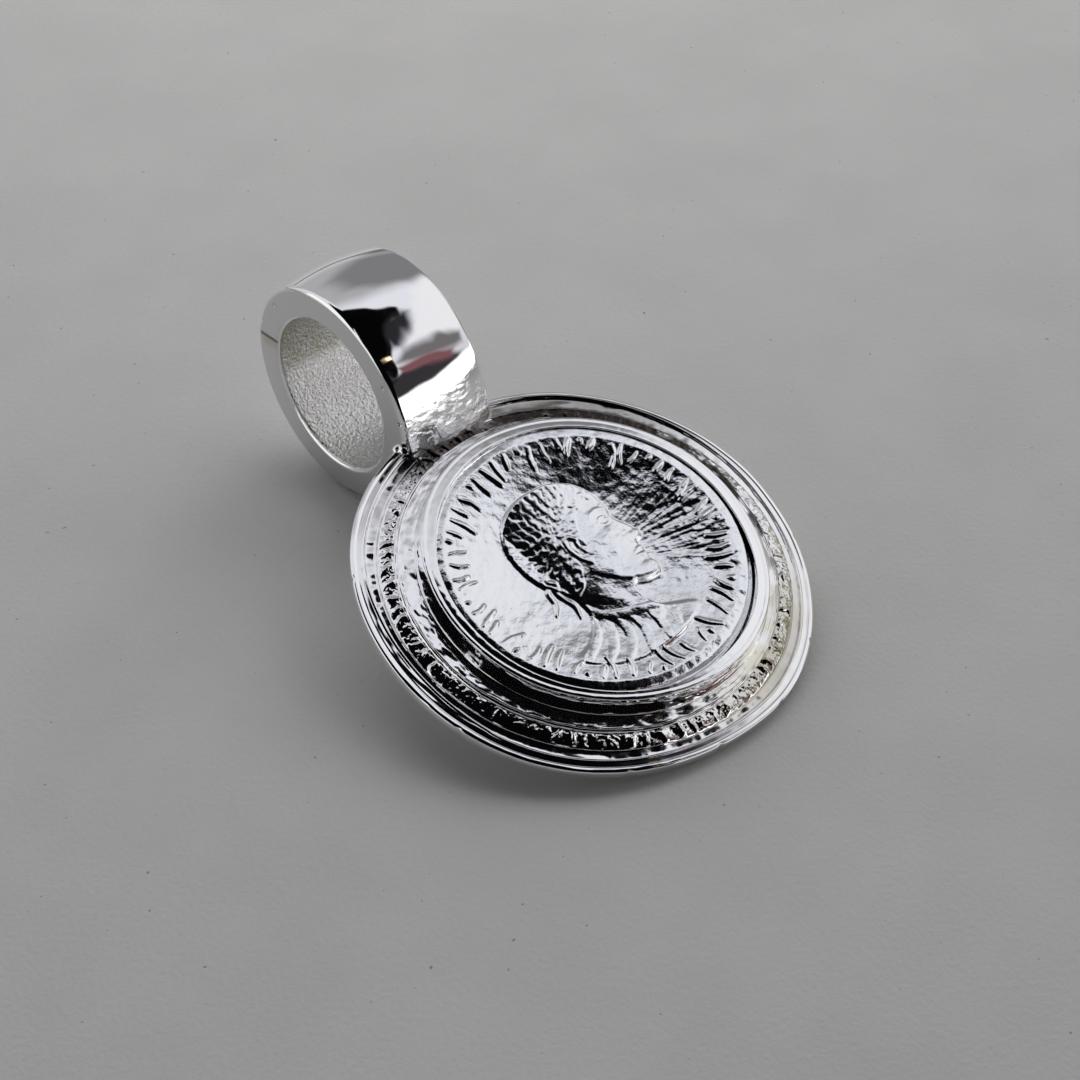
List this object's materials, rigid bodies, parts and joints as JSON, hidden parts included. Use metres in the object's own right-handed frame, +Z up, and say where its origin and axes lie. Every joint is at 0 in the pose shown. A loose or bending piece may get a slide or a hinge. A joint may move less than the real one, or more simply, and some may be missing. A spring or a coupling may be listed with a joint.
{
  "type": "coin pendant",
  "caption": "Coin pendant: a worn silver coin in a stepped round bezel frame with a ribbed band, and a wide ring bail soldered to its edge.",
  "frame": {"origin": "middle of the pendant's box on the surface that it lies on", "axes": "+Z up, +Y from the coin to the bail, X along the bail's bore"},
  "size_m": [0.026, 0.0382, 0.0141],
  "materials": {
    "polished_silver": "polished",
    "coin_silver": "worn and polished"
  },
  "bodies": {
    "root": {"setting_and_bail": "polished_silver", "coin": "coin_silver"}
  },
  "joints": []
}
